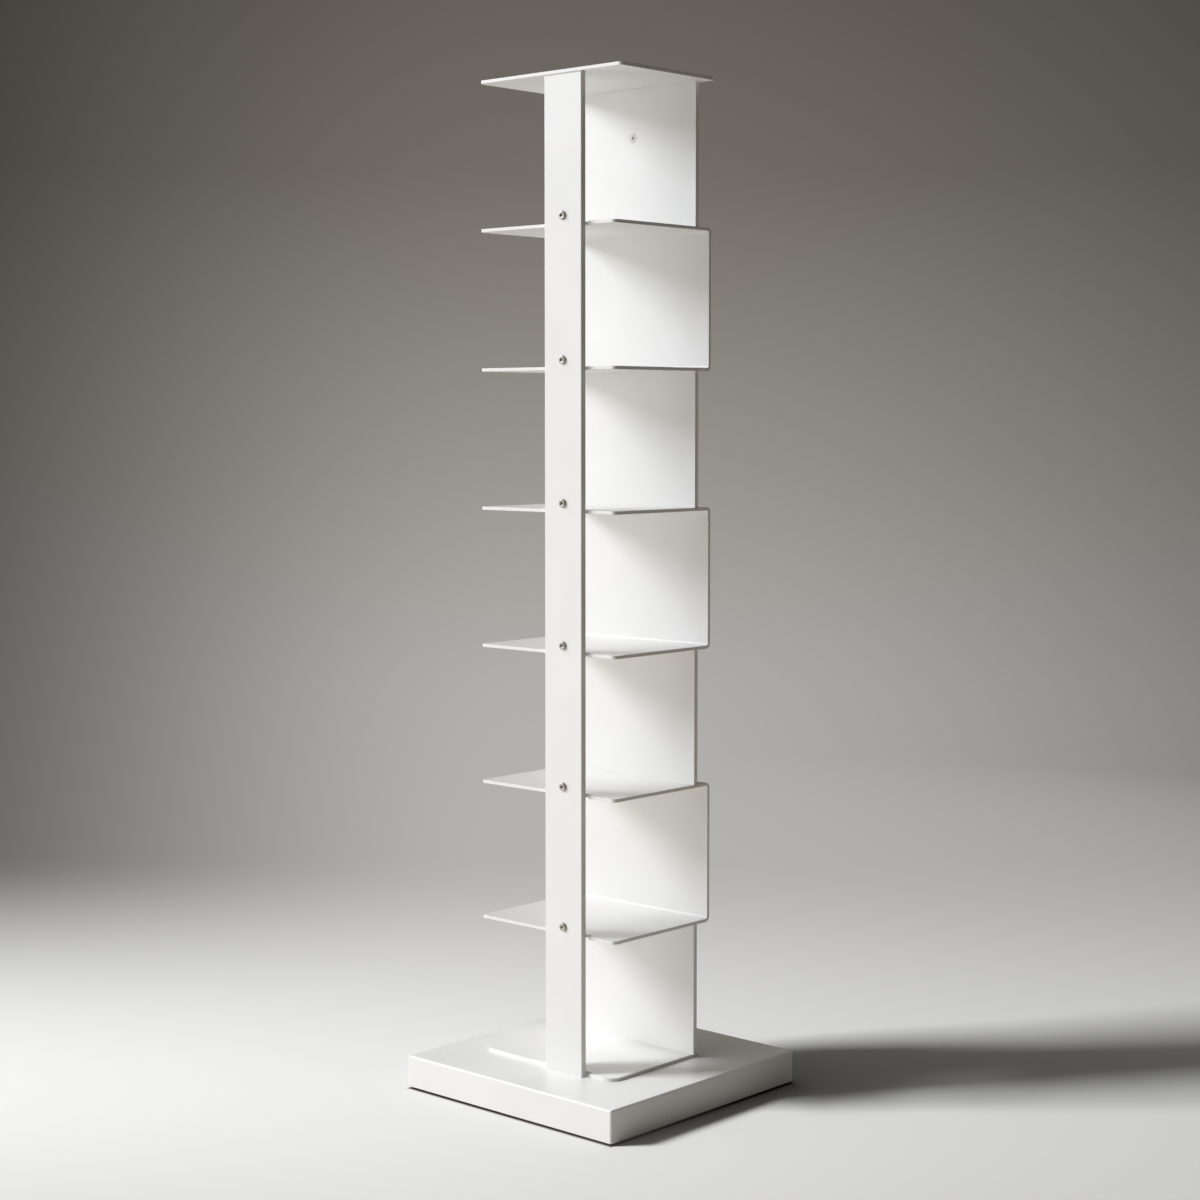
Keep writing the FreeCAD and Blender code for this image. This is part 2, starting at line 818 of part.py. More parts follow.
def make_tray_stud():
    """The stud welded under the tray, and its nut under the ballast."""
    nut_bottom = ballast_bottom - size.nut_height
    stud = new_body("tray_stud", nut_bottom - size.stud_tail)
    rod = new_sketch(stud, "XY_Plane")
    add_circle(rod, *stud_place, size.stud_radius)
    pad(stud, rod, base_top - nut_bottom + size.stud_tail)
    nut = new_body("tray_nut", nut_bottom)
    section = new_sketch(nut, "XY_Plane")
    add_nuts(section, [stud_place])
    pad(nut, section, size.nut_height)


# --------------------------------------------------------------------------------------
# The whole bookshelf
# --------------------------------------------------------------------------------------

make_plinth_shell()
make_ballast_plate()
make_foot_pads()
make_bottom_tray()
make_tray_stud()
make_spine_bar()
make_bar_bolts()

for index, level in enumerate(unit_levels, start=1):
    make_shelf_unit(index, level)

make_back_panel(1, tray_top, size.lowest_bay, size.tray_sheet, size.sheet)
for index, level in enumerate(unit_levels[:-1], start=2):
    make_back_panel(index, level + unit_height, size.middle_bay, size.sheet, size.sheet)
highest_level = unit_levels[-1] + unit_height
highest_panel = make_back_panel(
    SHELF_UNITS + 1, highest_level, size.highest_bay, size.sheet, size.top_sheet
)
sink_wall_tie(highest_panel, highest_level)

make_top_plate()
make_top_screw()
make_spine_screws()
make_spine_nuts()
make_wall_tie()


# --------------------------------------------------------------------------------------
# Tests and files
# --------------------------------------------------------------------------------------

def find_faults():
    """What failed to compute, and which pieces have no sound solid."""
    faults = []
    for item in doc.Objects:
        if "Invalid" in item.State or "Error" in item.State:
            faults.append(f"{item.Label}: {item.State}")
    for body in doc.findObjects("PartDesign::Body"):
        if body.Shape.isNull() or not body.Shape.isValid() or not body.Shape.Solids:
            faults.append(f"{body.Label}: no sound solid")
    return faults


doc.recompute()
found_faults = find_faults()
if found_faults:
    raise RuntimeError("; ".join(found_faults))

os.makedirs("parts", exist_ok=True)
for body in doc.findObjects("PartDesign::Body"):
    body.Shape.exportStep(f"parts/{body.Label}.step")
    box = body.Shape.BoundBox
    print(f"{body.Label}: {body.Shape.Volume:.0f} mm3, z {box.ZMin:.1f} to {box.ZMax:.1f}")
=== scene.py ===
import logging
import math
from collections.abc import Callable
from dataclasses import dataclass, field
from enum import Enum

import bmesh
import bpy
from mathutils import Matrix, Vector


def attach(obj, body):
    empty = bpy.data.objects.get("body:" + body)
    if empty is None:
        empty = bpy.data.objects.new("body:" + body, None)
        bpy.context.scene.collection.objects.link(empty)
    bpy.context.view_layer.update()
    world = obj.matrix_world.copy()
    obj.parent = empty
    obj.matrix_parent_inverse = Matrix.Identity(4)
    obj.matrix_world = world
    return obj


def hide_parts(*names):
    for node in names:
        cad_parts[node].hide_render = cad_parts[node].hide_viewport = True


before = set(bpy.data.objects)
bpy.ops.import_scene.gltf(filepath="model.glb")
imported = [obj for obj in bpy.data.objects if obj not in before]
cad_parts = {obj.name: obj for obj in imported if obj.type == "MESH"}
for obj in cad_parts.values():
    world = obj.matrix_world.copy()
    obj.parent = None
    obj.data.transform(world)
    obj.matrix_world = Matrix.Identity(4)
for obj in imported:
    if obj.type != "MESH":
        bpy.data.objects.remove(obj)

log = logging.getLogger("spine_bookshelf")

MM = 0.001
ROOT = "root"
POLYMER_IOR = 1.5  # polyester, enamel and epoxy
LOOKING = Vector((-0.6740, 0.7387, 0.0))  # level, from the viewer through the tower
ACROSS = Vector((0.7387, 0.6740, 0.0))  # level, to the viewer's right

Mesh = bmesh.types.BMesh
Material = bpy.types.Material
Piece = bpy.types.Object
Socket = bpy.types.NodeSocket
Tree = bpy.types.NodeTree


class Slot(Enum):
    """The record's finishes that the modelled fasteners take."""

    NICKEL = "nickel_screws"
    ZINC = "zinc_fasteners"


def linear(colour: str) -> tuple[float, float, float, float]:
    """Turn a colour as it is written into light.

    Args:
        colour: sRGB as "#rrggbb".

    Returns:
        Linear red, green and blue, and an alpha of 1.
    """
    parts = [int(colour[at:at + 2], 16) / 255 for at in (1, 3, 5)]
    light = [part / 12.92 if part <= 0.04045 else ((part + 0.055) / 1.055) ** 2.4 for part in parts]
    return (*light, 1.0)


def add_node(
    tree: Tree, kind: str, inputs: dict | None = None, links: dict | None = None, **settings: object
) -> bpy.types.Node:
    """Add one node.

    Args:
        tree: The node tree that it joins.
        kind: Blender's name for the node.
        inputs: Plain values, by socket name or number.
        links: Sockets that feed this node, by socket name or number.
        settings: The node's own properties.

    Returns:
        The new node.
    """
    node = tree.nodes.new(kind)
    for name, value in settings.items():
        setattr(node, name, value)
    for socket, value in (inputs or {}).items():
        node.inputs[socket].default_value = value
    for socket, source in (links or {}).items():
        tree.links.new(source, node.inputs[socket])
    return node


def empty_material(name: str) -> tuple[Material, Tree]:
    """Make a material with no nodes.

    Args:
        name: The finish's name.

    Returns:
        The material and its tree.
    """
    material = bpy.data.materials.new(name)
    material.use_nodes = True
    material.node_tree.nodes.clear()
    return material, material.node_tree


def noise(tree: Tree, size: float, detail: float = 2.0, roughness: float = 0.5) -> Socket:
    """Mottling of one grain size, the same on every face.

    Args:
        tree: The material's tree.
        size: Width of one grain in metres.
        detail: Octaves of finer grain.
        roughness: How strong the finer grain is.

    Returns:
        The factor's socket.
    """
    place = add_node(tree, "ShaderNodeTexCoord").outputs["Object"]
    inputs = {"Scale": 1 / size, "Detail": detail, "Roughness": roughness}
    return add_node(tree, "ShaderNodeTexNoise", inputs, {"Vector": place}).outputs["Fac"]


def spread(
    tree: Tree, source: Socket, low: float, high: float,
    start: float = 0.3, end: float = 0.7, ease: str = "LINEAR",
) -> Socket:
    """Map a factor to a range.

    Args:
        tree: The material's tree.
        source: The factor.
        low: Result at the start.
        high: Result at the end.
        start: Factor that gives the low result.
        end: Factor that gives the high result.
        ease: Blender's name for how it runs between them.

    Returns:
        The mapped value's socket.
    """
    inputs = {"From Min": start, "From Max": end, "To Min": low, "To Max": high}
    node = add_node(tree, "ShaderNodeMapRange", inputs, {"Value": source}, interpolation_type=ease)
    return node.outputs["Result"]


def ramp_up(tree: Tree, source: Socket, start: float, end: float) -> Socket:
    """Map a factor to 0 below the start and 1 beyond the end, with a soft run between them.

    Args:
        tree: The material's tree.
        source: The factor.
        start: Factor that gives 0.
        end: Factor that gives 1.

    Returns:
        The mapped value's socket.
    """
    return spread(tree, source, 0.0, 1.0, start, end, "SMOOTHSTEP")


def blend_colours(tree: Tree, factor: Socket, first: str | Socket, second: str | Socket) -> Socket:
    """Mix two colours.

    Args:
        tree: The material's tree.
        factor: 0 for the first colour and 1 for the second.
        first: A socket, or sRGB as "#rrggbb".
        second: A socket, or sRGB as "#rrggbb".

    Returns:
        The colour's socket.
    """
    colours = {6: first, 7: second}
    written = {at: linear(colour) for at, colour in colours.items() if isinstance(colour, str)}
    fed = {at: colour for at, colour in colours.items() if at not in written}
    return add_node(tree, "ShaderNodeMix", written, {0: factor, **fed}, data_type="RGBA").outputs[2]


def maths(tree: Tree, operation: str, first: Socket | float, second: Socket | float) -> Socket:
    """One step of arithmetic.

    Args:
        tree: The material's tree.
        operation: Blender's name for it.
        first: A socket or a number.
        second: A socket or a number.

    Returns:
        The result's socket.
    """
    terms = {0: first, 1: second}
    numbers = {at: term for at, term in terms.items() if isinstance(term, (int, float))}
    sockets = {at: term for at, term in terms.items() if at not in numbers}
    return add_node(tree, "ShaderNodeMath", numbers, sockets, operation=operation).outputs[0]


def measured(tree: Tree, operation: str, first: Socket, second: Socket | Vector | None = None) -> Socket:
    """Measure one vector, or one against another.

    Args:
        tree: The material's tree.
        operation: Blender's name for the measure.
        first: The vector's socket.
        second: A socket, a fixed vector or none.

    Returns:
        The number's socket.
    """
    fixed = {1: second} if isinstance(second, Vector) else {}
    fed = {0: first} if second is None or fixed else {0: first, 1: second}
    return add_node(tree, "ShaderNodeVectorMath", fixed, fed, operation=operation).outputs["Value"]


def looked_at(tree: Tree) -> Socket:
    """Tell the eye and what it sees in gloss or glass from bounced light.

    Args:
        tree: The material's tree.

    Returns:
        A factor's socket: 1 for a look and 0 for bounced light.
    """
    rays = add_node(tree, "ShaderNodeLightPath").outputs
    seen = maths(tree, "MAXIMUM", rays["Is Camera Ray"], rays["Is Glossy Ray"])
    return maths(tree, "MAXIMUM", seen, rays["Is Transmission Ray"])


def relief(tree: Tree, layers: list[tuple[Socket, float]], base: Socket | None = None) -> Socket:
    """Stack height maps into one normal.

    Args:
        tree: The material's tree.
        layers: Height factors with their heights in metres, the coarsest first.
        base: The normal that they stand on, or none for the surface's own.

    Returns:
        The normal's socket.
    """
    normal = base
    for height, distance in layers:
        links = {"Height": height}
        if normal:
            links["Normal"] = normal
        inputs = {"Strength": 1.0, "Distance": distance}
        normal = add_node(tree, "ShaderNodeBump", inputs, links).outputs["Normal"]
    return normal


def eased(tree: Tree, radius: float) -> Socket:
    """The normal of a surface whose sharp edges are eased.

    Args:
        tree: The material's tree.
        radius: The edges' radius in metres.

    Returns:
        The normal's socket.
    """
    return add_node(tree, "ShaderNodeBevel", {"Radius": radius}, samples=6).outputs["Normal"]


def edge_mask(tree: Tree, rounded: Socket, blunt: float = 0.75) -> Socket:
    """Find the edges.

    Args:
        tree: The material's tree.
        rounded: The eased normal.
        blunt: Cosine of how far an edge has to turn the normal to count in full.

    Returns:
        A factor's socket: 0 on flat faces and 1 on such an edge.
    """
    straight = add_node(tree, "ShaderNodeNewGeometry").outputs["True Normal"]
    return spread(tree, measured(tree, "DOT_PRODUCT", rounded, straight), 1.0, 0.0, blunt, 0.99)


def surface(tree: Tree, inputs: dict, links: dict) -> None:
    """End a material in one shader.

    Args:
        tree: The material's tree.
        inputs: Plain values of the shader.
        links: Sockets that feed the shader.
    """
    shader = add_node(tree, "ShaderNodeBsdfPrincipled", inputs, links)
    add_node(tree, "ShaderNodeOutputMaterial", links={"Surface": shader.outputs["BSDF"]})


@dataclass(frozen=True)
class PowderCoat:
    """Satin polyester powder coat, sprayed on dry and baked.

    The melt sets before it is level, so the white skin keeps a soft orange peel and a fine tooth that blur
    what it mirrors. It draws thin on sharp edges, where it looks a little greyer.
    """

    name: str = "satin_white_powder_coat"
    film: str = "#f3f2f0"
    thick_film: str = "#efefeb"
    thin_film: str = "#e5e2db"
    thinning: float = 0.55  # how much of the thin film's grey an edge takes
    roughness: tuple[float, float] = (0.31, 0.39)
    peel: float = 3.0 * MM
    peel_height: float = 0.07 * MM
    tooth: float = 1.5 * MM  # 0.2 mm on the real coat, too fine to show, so drawn coarser
    tooth_height: float = 0.028 * MM
    drift: float = 90.0 * MM  # from one pass of the spray gun to the next
    edge: float = 0.8 * MM

    def material(self) -> Material:
        """Build the coat's material."""
        material, tree = empty_material(self.name)
        thickened = spread(tree, noise(tree, self.drift, 1.0), 0.0, 1.0)
        coat = blend_colours(tree, thickened, self.film, self.thick_film)
        rounded = eased(tree, self.edge)
        thinned = spread(tree, edge_mask(tree, rounded), 0.0, self.thinning, 0.0, 1.0)
        peel = noise(tree, self.peel, 1.0)
        tooth = noise(tree, self.tooth, 2.0, 0.6)
        links = {
            "Base Color": blend_colours(tree, thinned, coat, self.thin_film),
            "Roughness": spread(tree, noise(tree, self.peel * 3, 2.0), *self.roughness),
            "Normal": relief(tree, [(peel, self.peel_height), (tooth, self.tooth_height)], rounded),
        }
        surface(tree, {"IOR": POLYMER_IOR}, links)
        return material


@dataclass(frozen=True)
class ScrewEnamel:
    """White stoving enamel on a small steel screw.

    One thin dip, so it is smoother and glossier than the sheet's coat. A key has rubbed it grey round the
    socket; the same grey along the rim is painted shade, where the head sits in its countersink.
    """

    name: str = "white_stoving_enamel"
    enamel: str = "#f0eeea"
    rubbed_and_shaded: str = "#857c71"
    roughness: tuple[float, float] = (0.26, 0.42)  # sound, and on the rubbed and shaded edges
    rub_and_shade_patch: float = 0.9 * MM
    sags: float = 1.1 * MM
    sag_height: float = 0.012 * MM
    edge: float = 1.2 * MM

    def material(self) -> Material:
        """Build the enamel's material."""
        material, tree = empty_material(self.name)
        rounded = eased(tree, self.edge)
        patchy = spread(tree, noise(tree, self.rub_and_shade_patch, 3.0, 0.65), 0.6, 1.0, 0.35, 0.65)
        # one edge mask gives real wear round the socket and painted shade along the rim
        rubbed_and_shaded_edge = maths(tree, "MULTIPLY", patchy, edge_mask(tree, rounded, 0.92))
        links = {
            "Base Color": blend_colours(tree, rubbed_and_shaded_edge, self.enamel, self.rubbed_and_shaded),
            "Roughness": spread(tree, rubbed_and_shaded_edge, *self.roughness, 0.0, 1.0),
            "Normal": relief(tree, [(noise(tree, self.sags), self.sag_height)], rounded),
        }
        surface(tree, {"IOR": POLYMER_IOR}, links)
        return material


@dataclass(frozen=True)
class NickelPlate:
    """Satin nickel plate on a cold-headed steel screw.

    The header's die leaves fine rings round the dome, so the warm grey metal breaks the light into a soft
    bright arc. A brown line round the foot of the head is painted shade, where the head meets its seat.
    """

    name: str = "nickel_plated_steel"
    metal: str = "#d3cfc6"
    shaded: str = "#bfb9ae"
    painted_seat_shade: str = "#857668"
    roughness: tuple[float, float] = (0.44, 0.56)
    foot: float = 1.0 * MM  # height of the painted shade over the head's seat
    cloud: float = 1.4 * MM
    cloud_height: float = 0.02 * MM
    ring: float = 0.45 * MM  # 0.1 mm on a real die, drawn coarser to show
    ring_height: float = 0.004 * MM

    def material(self) -> Material:
        """Build the plate's material; rings run round the piece's own Y axis."""
        material, tree = empty_material(self.name)
        place = add_node(tree, "ShaderNodeTexCoord").outputs["Object"]
        # A wave's rings are 2 pi / 20 metres apart at a scale of 1.
        rings = add_node(
            tree, "ShaderNodeTexWave",
            {"Scale": 2 * math.pi / 20 / self.ring, "Distortion": 0.6, "Detail": 1.0},
            {"Vector": place}, wave_type="RINGS", rings_direction="Y",
        ).outputs["Fac"]
        cloud = noise(tree, self.cloud, 3.0, 0.6)
        plate = blend_colours(tree, spread(tree, cloud, 0.0, 1.0), self.metal, self.shaded)
        along = add_node(tree, "ShaderNodeSeparateXYZ", links={0: place}).outputs[1]
        # painted shade: the metal turns brown within this height of the head's seat
        foot = ramp_up(tree, along, -1.9 * self.foot, -self.foot)
        links = {
            "Base Color": blend_colours(tree, foot, plate, self.painted_seat_shade),
            "Roughness": spread(tree, cloud, *self.roughness),
            "Normal": relief(tree, [(cloud, self.cloud_height), (rings, self.ring_height)]),
        }
        surface(tree, {"Metallic": 1.0}, links)
        return material


@dataclass(frozen=True)
class ZincPlate:
    """Electroplated zinc with a clear blue passivate, barrel plated.

    Tumbling dulls it to a fine haze, and the passivate drifts between cool blue and straw.
    """

    name: str = "blue_passivated_zinc"
    cool: str = "#b7bdc4"
    straw: str = "#c4c1b2"
    roughness: tuple[float, float] = (0.30, 0.50)
    tint: float = 4.0 * MM
    haze: float = 0.6 * MM
    haze_height: float = 0.02 * MM
    edge: float = 0.3 * MM

    def material(self) -> Material:
        """Build the zinc's material."""
        material, tree = empty_material(self.name)
        tint = spread(tree, noise(tree, self.tint, 2.0), 0.0, 1.0, 0.35, 0.65)
        haze = noise(tree, self.haze, 3.0, 0.65)
        links = {
            "Base Color": blend_colours(tree, tint, self.cool, self.straw),
            "Roughness": spread(tree, haze, *self.roughness),
            "Normal": relief(tree, [(haze, self.haze_height)], eased(tree, self.edge)),
        }
        surface(tree, {"Metallic": 1.0}, links)
        return material


@dataclass(frozen=True)
class PlatePrimer:
    """Black epoxy primer on hot-rolled plate, dipped and baked.

    The rolling scale under it shows as shallow flat patches, dull where the primer is thin.
    """

    name: str = "black_epoxy_primer"
    primer: str = "#2a2b2d"
    dusty: str = "#3a3936"
    roughness: tuple[float, float] = (0.45, 0.68)
    scale: float = 7.0 * MM
    scale_height: float = 0.12 * MM
    tooth: float = 1.5 * MM
    tooth_height: float = 0.03 * MM
    edge: float = 1.0 * MM

    def material(self) -> Material:
        """Build the primer's material."""
        material, tree = empty_material(self.name)
        scale = noise(tree, self.scale, 4.0, 0.6)
        layers = [(scale, self.scale_height), (noise(tree, self.tooth), self.tooth_height)]
        links = {
            "Base Color": blend_colours(tree, spread(tree, scale, 0.0, 1.0, 0.4, 0.7), self.primer, self.dusty),
            "Roughness": spread(tree, scale, *self.roughness),
            "Normal": relief(tree, layers, eased(tree, self.edge)),
        }
        surface(tree, {"IOR": POLYMER_IOR}, links)
        return material


@dataclass(frozen=True)
class PadRubber:
    """Black nitrile rubber, moulded in a spark-eroded die, which leaves a matt grain."""

    name: str = "moulded_nitrile_rubber"
    rubber: str = "#1e1d1c"
    bloom: str = "#2e2c2a"
    bloom_size: float = 9.0 * MM
    grain: float = 1.0 * MM  # 0.3 mm on a real die, drawn coarser to show
    grain_height: float = 0.08 * MM
    edge: float = 0.6 * MM

    def material(self) -> Material:
        """Build the rubber's material."""
        material, tree = empty_material(self.name)
        bloom = spread(tree, noise(tree, self.bloom_size), 0.0, 1.0)
        layers = [(noise(tree, self.grain, 3.0, 0.7), self.grain_height)]
        links = {
            "Base Color": blend_colours(tree, bloom, self.rubber, self.bloom),
            "Normal": relief(tree, layers, eased(tree, self.edge)),
        }
        surface(tree, {"Roughness": 0.8, "IOR": 1.52}, links)
        return material


@dataclass(frozen=True)
class SweepPaper:
    """Matt seamless studio paper, white under the tower and running off into a dim warm grey.

    Near the tower it is plain paper, which takes real light and shadow, with painted shade under the plinth.
    Further off it is painted as the eye finds it, a pool of light that dies away to both sides and upwards.
    """

    name: str = "seamless_paper"
    paper: str = "#969696"
    grain: float = 3.0 * MM
    grain_height: float = 0.05 * MM
    shaded: str = "#3c322d"  # painted shade under the plinth, where only its 3 mm gap shows it
    stand: float = 174.0 * MM  # half the plinth's width
    feather: float = 4.0 * MM  # how softly the painted shade ends

    # What the paper throws back on the tower, darker close to the plinth to keep its sides from washing out.
    bounced: str = "#979088"
    bounced_near: str = "#7c7a78"
    near: float = 0.3
    far: float = 0.75

    # The painted colour by height.
    low: str = "#b5b3b0"
    middle: str = "#9a9690"
    high: str = "#736e67"
    top: str = "#59544d"
    middle_level: float = 0.27
    high_level: float = 0.62
    top_height: float = 3.2
    drift: float = 0.05  # how fast the colour changes over the flat paper, against going up
    drift_start: float = 1.4

    # The painted pool. Its widths are sideways over distance, where it has fallen to 37%.
    viewer: float = 2.9  # level distance of the eye from the tower
    pool_middle: float = -0.03
    pool_left: float = 0.210
    pool_left_high: float = 0.243
    pool_high: float = 2.3  # height that gives the second width
    pool_right: float = 0.38
    pool_right_near: float = 0.66  # near the tower the floor spreads the light
    pool_near: float = 1.6
    pool_far: float = 2.9
    darkest: float = 0.30

    # Where paper turns into paint: ahead and behind the tower, up the sweep, and far out all round.
    fade_end: float = 1.58
    sideways: float = 0.2  # how far a step sideways counts against one ahead
    risen: float = 0.6
    ring_ahead: float = 0.3
    ring_right: float = 0.2
    ring_start: float = 1.15
    ring_end: float = 2.2

    def pool(self, tree: Tree, place: Socket, away: Socket, height: Socket) -> Socket:
        """How bright the painted pool is to one side of the tower.

        Args:
            tree: The material's tree.
            place: The point on the paper.
            away: Its distance from the tower's middle.
            height: Its height over the floor.

        Returns:
            A factor's socket, 1 in the middle of the pool.
        """
        across = measured(tree, "DOT_PRODUCT", place, ACROSS)
        side = maths(tree, "DIVIDE", across, maths(tree, "ADD", away, self.viewer))
        side = maths(tree, "SUBTRACT", side, self.pool_middle)
        left_width = spread(tree, height, self.pool_left, self.pool_left_high, 0.0, self.pool_high)
        left = maths(tree, "DIVIDE", maths(tree, "MINIMUM", side, 0.0), left_width)
        right_width = spread(tree, away, self.pool_right_near, self.pool_right, self.pool_near, self.pool_far)
        right = maths(tree, "DIVIDE", maths(tree, "MAXIMUM", side, 0.0), right_width)
        squared = maths(tree, "POWER", maths(tree, "SUBTRACT", right, left), 2.0)
        falling = maths(tree, "POWER", math.e, maths(tree, "MULTIPLY", squared, -1.0))
        return maths(tree, "MAXIMUM", falling, self.darkest)

    def covered(self, tree: Tree, parts: list[Socket]) -> Socket:
        """Where the plinth stands, which gets painted shade.

        Args:
            tree: The material's tree.
            parts: The point's three coordinates.

        Returns:
            A factor's socket: 1 under the plinth, 0 a little outside it.
        """
        along, back = (maths(tree, "ABSOLUTE", part, 0.0) for part in parts[:2])
        reach = maths(tree, "MAXIMUM", along, back)
        return spread(tree, reach, 1.0, 0.0, self.stand, self.stand + self.feather)

    def tone(self, tree: Tree, height: Socket, away: Socket) -> Socket:
        """The painted colour by height, with a slow drift over the flat paper.

        Args:
            tree: The material's tree.
            height: Height over the floor.
            away: Distance from the tower's middle.

        Returns:
            The colour's socket.
        """
        drift = maths(tree, "MULTIPLY", maths(tree, "SUBTRACT", away, self.drift_start), self.drift)
        level = maths(tree, "DIVIDE", maths(tree, "ADD", height, drift), self.top_height)
        ramp = add_node(tree, "ShaderNodeValToRGB", links={"Fac": level})
        stops = ramp.color_ramp.elements
        stops[0].position, stops[0].color = 0.0, linear(self.low)
        stops[1].position, stops[1].color = 1.0, linear(self.top)
        for position, colour in ((self.middle_level, self.middle), (self.high_level, self.high)):
            stops.new(position).color = linear(colour)
        return ramp.outputs["Color"]

    def painted(self, tree: Tree, place: Socket, flat: Socket, height: Socket) -> Socket:
        """Where the paper is painted and not lit.

        Args:
            tree: The material's tree.
            place: The point on the paper.
            flat: The same, brought down to the floor.
            height: Its height over the floor.

        Returns:
            A factor's socket: 0 near the tower and 1 where there is only paint.
        """
        ahead = measured(tree, "DOT_PRODUCT", place, LOOKING)
        aside = maths(tree, "MULTIPLY", measured(tree, "DOT_PRODUCT", place, ACROSS), self.sideways)
        spot = add_node(tree, "ShaderNodeCombineXYZ", links={0: ahead, 1: aside}).outputs[0]
        fade = ramp_up(tree, measured(tree, "LENGTH", spot), 0.0, self.fade_end)
        risen = ramp_up(tree, height, 0.0, self.risen)
        ring_middle = LOOKING * self.ring_ahead + ACROSS * self.ring_right
        ring = ramp_up(tree, measured(tree, "DISTANCE", flat, ring_middle), self.ring_start, self.ring_end)
        return maths(tree, "MAXIMUM", maths(tree, "MAXIMUM", fade, risen), ring)

    def material(self) -> Material:
        """Build the paper's material."""
        material, tree = empty_material(self.name)
        place = add_node(tree, "ShaderNodeTexCoord").outputs["Object"]
        parts = add_node(tree, "ShaderNodeSeparateXYZ", links={0: place}).outputs
        flat = add_node(tree, "ShaderNodeCombineXYZ", links={0: parts[0], 1: parts[1]}).outputs[0]
        away = measured(tree, "LENGTH", flat)
        bounced = add_node(tree, "ShaderNodeLightPath").outputs["Is Diffuse Ray"]
        outwards = spread(tree, away, 0.0, 1.0, self.near, self.far)
        thrown = blend_colours(tree, outwards, self.bounced_near, self.bounced)
        # painted shade: the paper under the plinth is darkened
        colour = blend_colours(tree, self.covered(tree, parts), self.paper, self.shaded)
        links = {
            "Color": blend_colours(tree, bounced, colour, thrown),
            "Normal": relief(tree, [(noise(tree, self.grain, 3.0, 0.6), self.grain_height)]),
        }
        paper = add_node(tree, "ShaderNodeBsdfDiffuse", links=links)
        links = {"Color": self.tone(tree, parts[2], away), "Strength": self.pool(tree, place, away, parts[2])}
        paint = add_node(tree, "ShaderNodeEmission", links=links)
        share = maths(tree, "MULTIPLY", self.painted(tree, place, flat, parts[2]), looked_at(tree))
        links = {0: share, 1: paper.outputs[0], 2: paint.outputs[0]}
        mixed = add_node(tree, "ShaderNodeMixShader", links=links)
        add_node(tree, "ShaderNodeOutputMaterial", links={"Surface": mixed.outputs[0]})
        material.cycles.emission_sampling = "NONE"
        return material


def new_piece(name: str, mesh: Mesh, material: Material, crease: float = math.radians(32)) -> Piece:
    """Turn a built mesh into an object.

    Args:
        name: The piece's name.
        mesh: The built mesh, which is freed.
        material: Its finish.
        crease: The angle over which an edge is shaded sharp, in radians.

    Returns:
        The object, linked to the scene.
    """
    data = bpy.data.meshes.new(name)
    bmesh.ops.recalc_face_normals(mesh, faces=mesh.faces)
    for face in mesh.faces:
        face.smooth = True
    for edge in mesh.edges:
        edge.smooth = edge.calc_face_angle(0.0) < crease
    mesh.to_mesh(data)
    mesh.free()
    data.materials.append(material)
    piece = bpy.data.objects.new(name, data)
    bpy.context.scene.collection.objects.link(piece)
    return piece


def join_rings(mesh: Mesh, rings: list[list[Vector]], closed: bool = True) -> None:
    """Skin a row of rings that have the same number of points.

    Args:
        mesh: The mesh that gets them.
        rings: Each ring's points, in order.
        closed: Whether both ends are closed to a point in their middle.
    """
    rows = [[mesh.verts.new(point) for point in ring] for ring in rings]
    count = len(rows[0])
    for lower, upper in zip(rows, rows[1:]):
        for at in range(count):
            after = (at + 1) % count
            mesh.faces.new((lower[at], lower[after], upper[after], upper[at]))
    if not closed:
        return
    for row in (rows[0], rows[-1]):
        middle = mesh.verts.new(sum((vert.co for vert in row), Vector()) / count)
        for at in range(count):
            mesh.faces.new((row[at], row[(at + 1) % count], middle))


def hexagon_reach(angle: float, width: float) -> float:
    """How far a hexagon with two level flats reaches.

    Args:
        angle: Direction from its middle, in radians.
        width: Its width across the flats.

    Returns:
        The distance from its middle to its outline.
    """
    turned = (angle + math.pi / 2 + math.pi / 6) % (math.pi / 3) - math.pi / 6
    return width / 2 / math.cos(turned)


